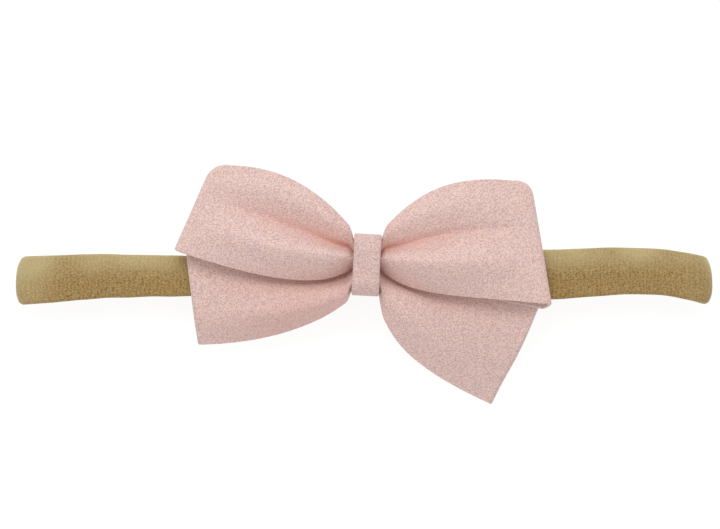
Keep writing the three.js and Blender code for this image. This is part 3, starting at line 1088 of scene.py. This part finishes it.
    right_tail: Lobe = Lobe(Side.RIGHT, 62, (
        (0.0, (1.4, -5.7, 15.1, 0.1), (4.8, -14.6, 15.0, 0.1), (5.3, -22.2, 7.8), (30.4, -33.8, 1.2)),
        (0.2, (1.8, -5.8, 17.5, 0.1), (7.0, -10.2, 18.0), (12.5, -17.6, 13.0), (33.0, -28.5, 4.4)),
        (0.42, (1.8, -3.9, 17.2, 0.2), (8.0, -6.8, 16.4, 0.1), (17, -11.6, 14.4, 0.05), (36.2, -22.5, 8.4)),
        (0.58, (1.8, -2.5, 15.0, 0.6), (8.5, -5.2, 14.2, 0.6), (20, -8.4, 13.6, 0.15), (38.3, -18.0, 10.9)),
        (0.8, (1.8, -1.1, 13.0, 0.4), (10, -2.6, 12.8, 0.5), (24, -4.4, 12.6, 0.2), (40.8, -12.0, 12.1)),
        (1.0, (1.8, 0.6, 12.9, 0.2), (12, 1.2, 12.8, 0.2), (27, -2.0, 12.6, 0.2), (43.0, -6.6, 12.6)),
    ))

    def __post_init__(self) -> None:
        """Reads the loops' lowest level from the frame."""
        self.back_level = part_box("bow_loop_left")[0].z / MM + self.cad_half

    def fold_rows(self, fold: Fold, side: Side, shares: np.ndarray, rising: bool) -> np.ndarray:
        """The rows that turn round a loop's fold.

        Args:
            fold: The fold.
            side: The side of the waist.
            shares: Places across the strip.
            rising: Whether the rows run from the back layer up to the front one.

        Returns:
            Rows of points (x, y, z, painted shade in a fold).
        """
        angles = np.linspace(-math.pi / 2, math.pi / 2, self.fold_steps)[1:-1]
        outward = fold.outward(shares)
        centre = fold.line(shares) - fold.radius * outward
        tuck = self.tuck * self.thickness * fold.turned(shares) ** 4
        made = np.zeros((len(angles), len(shares), 4))
        for i, angle in enumerate(angles):
            made[i, :, :2] = centre + fold.radius * math.cos(angle) * outward
            made[i, :, 1] -= fold.lip_drop(shares) * (1 - math.sin(angle)) / 2 + tuck * math.cos(angle)
            made[i, :, 2] = self.back_level + fold.radius * (1 + math.sin(angle))
        made[..., 0] *= side.value
        return made if rising else made[::-1]

    def waist_rows(self, before: np.ndarray, after: np.ndarray, height: float | None) -> np.ndarray:
        """The rows that cross the waist under the wrap.

        Args:
            before: The last row before the waist.
            after: The first row after it.
            height: The height that this layer is pressed to, or None where it keeps its own shape.

        Returns:
            Rows of points (x, y, z, painted shade in a fold).
        """
        rows = []
        for step in np.linspace(0, 1, self.waist_steps)[1:-1]:
            row = before * (1 - step) + after * step
            if height is not None:
                squeeze = math.sin(math.pi * step) ** self.waist_ease
                row[:, 2] = row[:, 2] * (1 - squeeze) + height * squeeze
            # The waist under the wrap gets the full painted fold shade.
            row[:, 3] = 1.0
            rows.append(row)
        return np.array(rows)

    def pinch(self, points: np.ndarray) -> np.ndarray:
        """Draws the gathered cloth in evenly under the thread and the wrap.

        Args:
            points: Points (x, y, z), in millimetres.

        Returns:
            The drawn-in points.
        """
        inner = smooth(np.abs(points[..., 0]), self.thread_edge, self.wrap_edge)
        distance = np.abs(points[..., 0] - points[..., 1] * math.tan(math.radians(self.wrap_lean)))
        drawn = points.copy()
        for axis, middle in ((1, 0.0), (2, self.waist_height)):
            spread = np.clip((distance - self.wrap_edge) / self.flare[axis - 1], 0, 1)
            share = self.thread_pinch[axis - 1] * (1 - inner) + self.wrap_pinch[axis - 1] * inner
            share = share + (1 - share) * spread * (2 - spread)
            drawn[..., axis] = middle + (points[..., axis] - middle) * share
        return drawn

    def strip(self) -> np.ndarray:
        """The whole strip's grid, from the right tail's cut end to the left tail's.

        Returns:
            Rows of points (x, y, z, depth in a fold), in millimetres.
        """
        shares = np.linspace(0, 1, self.columns)
        left_level, right_level = [
            self.back_level + 2 * fold.radius for fold in (self.left_fold, self.right_fold)
        ]
        right_tail = self.right_tail.grid(shares)[::-1]
        left_back = self.left_back.grid(shares, self.back_level)
        left_front = self.left_front.grid(shares, left_level)[::-1]
        right_front = self.right_front.grid(shares, right_level)
        right_back = self.right_back.grid(shares, self.back_level)[::-1]
        left_tail = self.left_tail.grid(shares)
        return np.concatenate([
            right_tail,
            self.waist_rows(right_tail[-1], left_back[0], self.pressed[0]),
            left_back,
            self.fold_rows(self.left_fold, Side.LEFT, shares, True),
            left_front,
            self.waist_rows(left_front[-1], right_front[0], None),
            right_front,
            self.fold_rows(self.right_fold, Side.RIGHT, shares, False),
            right_back,
            self.waist_rows(right_back[-1], left_tail[0], self.pressed[1]),
            left_tail,
        ])

    def rise(self, points: np.ndarray) -> np.ndarray:
        """How far the loose cloth's unevenness lifts each point, in millimetres."""
        loose = smooth(np.abs(points[..., 0]), *self.loose)
        return loose * ripple(points, size=0.25, wavelength=9.0, seed=5.0)

    def build(self) -> list[bpy.types.Object]:
        """Builds the strip and ties it to the bow's body.

        Returns:
            The one piece.
        """
        grid = self.strip()
        # The fourth column is the painted shade in the cloth's folds.
        points, crease_shade = grid[..., :3].copy(), grid[..., 3]
        points[..., 2] += self.rise(points)
        points = self.pinch(points)
        press = self.gathered + (1 - self.gathered) * smooth(np.abs(points[..., 0]), *self.swell)
        piece = ClothSheet("bow_strip", points, self.thickness, rim=0.22, mask=crease_shade, press=press).build()
        piece.data.materials.append(self.finish.build())
        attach(piece, "bow")
        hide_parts("bow_loop_left", "bow_loop_right", "bow_tail_left", "bow_tail_right", "bow_waist")
        return [piece]


@dataclass
class CentreWrap:
    """The narrow strip round the bow's waist and the band's front layer, its ends meeting underneath.

    Attributes:
        finish: The cloth, a darker copy of the bow's as painted shade.
        thickness: The cloth's thickness.
        tilt: The wrap's turn, seen from above, in degrees.
        top_round: The radius of its two upper corners.
        low_round: The radius of its two lower corners.
        width: Its cut width.
        columns: Points across the wrap.
        stitch_gap: The hairline between its underside and the stitches that lie on it.
        seam: Half the gap where its two ends meet.
        dome: How far its middle stands above its edges at the top.
        waisting: The share of its width that it is drawn in by at the top.
        dome_start: How far above its underside the wrap starts to dome.
        uneven_run: Where its unevenness starts and is full, above its underside.
        corner_steps: Points round a corner of its side view.
        path_steps: Points round the wrap.
    """

    # Painted shade: the wrap's cloth is a darker copy of the bow's cloth.
    finish: SuedeFinish = field(default_factory=lambda: SuedeFinish(
        name="suede_wrap_shaded", ground=srgb(216, 184, 176), mauve=srgb(176, 138, 140), peach=srgb(220, 186, 172),
    ))
    thickness: float = 0.9
    tilt: float = -3.0
    top_round: float = 3.2
    low_round: float = 1.9
    width: float = 6.1
    columns: int = 17
    stitch_gap: float = 0.04
    seam: float = 0.08
    dome: float = 0.35
    waisting: float = 0.035
    dome_start: float = 3.0
    uneven_run: tuple = (1.0, 5.0)
    corner_steps: int = 10
    path_steps: int = 150

    def __post_init__(self) -> None:
        """Reads the wrap's height and depth from the frame."""
        low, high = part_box("centre_wrap")
        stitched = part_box("wrap_stitches")[1].z / MM + self.stitch_gap
        self.bottom, self.top = stitched + self.thickness / 2, high.z / MM - self.thickness / 2
        swing = self.width / 2 * math.sin(math.radians(abs(self.tilt)))
        self.half = (high.y / MM - swing) / math.cos(math.radians(self.tilt)) - self.thickness / 2

    def path(self) -> np.ndarray:
        """The wrap's side view, from its seam underneath, round the top and back.

        Returns:
            Rows of (y, z), in millimetres.
        """
        points = [(self.seam, self.bottom)]
        corners = (
            (self.half, self.bottom, self.low_round, -90),
            (self.half, self.top, self.top_round, 0),
            (-self.half, self.top, self.top_round, 90),
            (-self.half, self.bottom, self.low_round, 180),
        )
        for y, z, radius, start in corners:
            centre_y = y - math.copysign(radius, y)
            centre_z = z - math.copysign(radius, z - (self.bottom + self.top) / 2)
            for angle in np.radians(np.linspace(start, start + 90, self.corner_steps)):
                points.append((centre_y + radius * math.cos(angle), centre_z + radius * math.sin(angle)))
        points.append((-self.seam, self.bottom))
        line = np.array(points)
        length = np.r_[0, np.cumsum(np.linalg.norm(np.diff(line, axis=0), axis=1))]
        even = np.linspace(0, length[-1], self.path_steps)
        return np.stack([np.interp(even, length, values) for values in line.T], axis=1)

    def build(self) -> list[bpy.types.Object]:
        """Builds the wrap and ties it to the bow's body.

        Returns:
            The one piece.
        """
        across = np.linspace(-0.5, 0.5, self.columns) * self.width
        rows = []
        for y, z in self.path():
            over = smooth(np.array([z]), self.bottom + self.dome_start, self.top)[0]
            dome = self.dome * over * (1 - (across / (self.width / 2)) ** 2)
            waisted = across * (1 - self.waisting * over * math.cos(math.pi * y / (2 * self.half)))
            rows.append(np.stack([waisted, np.full_like(across, y), z + dome], axis=1))
        grid = np.array(rows)
        height = grid[..., 2] - self.bottom
        grid[..., 2] += ripple(grid, size=0.12, wavelength=3.0, seed=21.0) * smooth(height, *self.uneven_run)
        turn = math.radians(self.tilt)
        x, y = grid[..., 0].copy(), grid[..., 1].copy()
        grid[..., 0] = x * math.cos(turn) - y * math.sin(turn)
        grid[..., 1] = x * math.sin(turn) + y * math.cos(turn)
        sheet = ClothSheet("bow_wrap", grid, self.thickness, end_rim=0.0)
        piece = sheet.build()
        piece.data.materials.append(self.finish.build())
        along = sheet.lengths()[0]
        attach(piece, "bow")
        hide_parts("centre_wrap")
        log.info("centre wrap cut %.1f x %.1f mm", self.width, along[-1])
        return [piece]


@dataclass
class Threads:
    """The thread that gathers the waist and the stitches that close the wrap.

    Attributes:
        finish: The thread.
        nodes: The CAD nodes that it dresses.
    """

    finish: ThreadFinish = field(default_factory=ThreadFinish)
    nodes: tuple = ("waist_thread", "wrap_stitches")

    def build(self) -> list[bpy.types.Object]:
        """Gives the CAD threads their finish.

        Returns:
            The dressed nodes.
        """
        material = self.finish.build()
        dressed = [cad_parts[name] for name in self.nodes]
        for node in dressed:
            for place in node.material_slots:
                place.material = material
        return dressed


# ---------------------------------------------------------------- the studio


@dataclass
class Studio:
    """A pale table under soft light, seen from straight above.

    Attributes:
        view_width: The width of table that the camera sees at the band's height, in millimetres.
        lens: The lens, in millimetres.
        aim: The point that the camera looks down on, in millimetres.
        height: The height at which view_width holds.
        sensor: The camera's sensor, in millimetres.
        table_size: The table's width, in metres.
        drop: How far the table lies below the band, in millimetres.
        tone: The table's grey, from 0 to 1.
        glow: How strongly the table shines by itself, so that it shows white.
        dome: The strength of the light from all round.
        key_place: Where the key light hangs, in metres.
        key_aim: The point that it shines on, in metres.
        key_size: Its width, in metres.
        key_power: Its power, in watts.
    """

    view_width: float = 175.4
    lens: float = 300.0
    aim: tuple = (-1.6, 0.1)
    height: float = 9.0
    sensor: float = 36.0
    table_size: float = 6.0
    drop: float = 0.05
    tone: float = 0.2
    glow: float = 0.87
    dome: float = 0.74
    key_place: tuple = (-0.10, 0.47, 0.72)
    key_aim: tuple = (0, 0, 0.01)
    key_size: float = 0.45
    key_power: float = 2.7

    def build_floor(self) -> bpy.types.Object:
        """Lays the pale table.

        Returns:
            The table.
        """
        deselect_all()
        bpy.ops.mesh.primitive_plane_add(size=self.table_size, location=(0, 0, -self.drop * MM))
        floor = bpy.context.object
        floor.name = "table"
        material, bench, shader = new_material("pale_table")
        bench.fill(
            shader,
            Base_Color=(self.tone, self.tone, self.tone, 1),
            Roughness=0.9,
            Specular_IOR_Level=0.0,
            Emission_Color=(1, 1, 1, 1),
            Emission_Strength=self.glow,
        )
        mixed = bench.add("MixShader", Fac=bench.add("NewGeometry").outputs["Backfacing"])
        bench.plug(shader.outputs[0], mixed.inputs[1])
        bench.plug(bench.add("BsdfTransparent").outputs[0], mixed.inputs[2])
        bench.plug(mixed.outputs[0], material.node_tree.nodes["Material Output"].inputs["Surface"])
        floor.data.materials.append(material)
        deselect_all()
        return floor

    def build_lights(self) -> None:
        """Sets the soft dome and the broad key light from beyond the bow's top."""
        world = bpy.data.worlds.new("soft_dome")
        world.use_nodes = True
        NodeBench(world.node_tree).fill(
            world.node_tree.nodes["Background"], Color=(1.0, 1.0, 1.0, 1), Strength=self.dome
        )
        bpy.context.scene.world = world
        deselect_all()
        bpy.ops.object.light_add(type="AREA", location=self.key_place)
        key = bpy.context.object
        key.name = "key"
        key.data.shape = "DISK"
        key.data.size = self.key_size
        key.data.energy = self.key_power
        key.rotation_euler = (Vector(self.key_aim) - key.location).to_track_quat("-Z", "Y").to_euler()
        deselect_all()

    def build_camera(self) -> bpy.types.Object:
        """Hangs the camera over the band.

        Returns:
            The camera.
        """
        data = bpy.data.cameras.new("camera")
        data.sensor_width = self.sensor
        data.lens = self.lens
        data.clip_start = 0.01
        data.clip_end = 10.0
        distance = self.view_width * self.lens / self.sensor
        camera = bpy.data.objects.new("camera", data)
        camera.location = (self.aim[0] * MM, self.aim[1] * MM, (self.height + distance) * MM)
        bpy.context.scene.collection.objects.link(camera)
        bpy.context.scene.camera = camera
        return camera

    def build(self) -> None:
        """Sets up the table, lights, camera and plain tones."""
        self.build_camera()
        self.build_floor()
        self.build_lights()
        bpy.context.scene.view_settings.view_transform = "Standard"
        bpy.context.scene.view_settings.look = "None"


def report(part: str, pieces: list[bpy.types.Object]) -> None:
    """Logs each piece of a part with its number of faces.

    Args:
        part: The part's name.
        pieces: Its pieces.
    """
    for piece in pieces:
        log.info("%s: %s with %d faces", part, piece.name, len(piece.data.polygons))


def main() -> None:
    """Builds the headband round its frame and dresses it."""
    logging.basicConfig(level=logging.INFO, format="%(name)s: %(message)s")
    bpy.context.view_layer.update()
    Studio().build()
    report("band", NylonBand().build())
    wrap = CentreWrap().build()
    report("centre wrap", wrap)
    report("bow", FoldedBow(binding=wrap).build())
    report("threads", Threads().build())


if __name__ == "__main__":
    main()
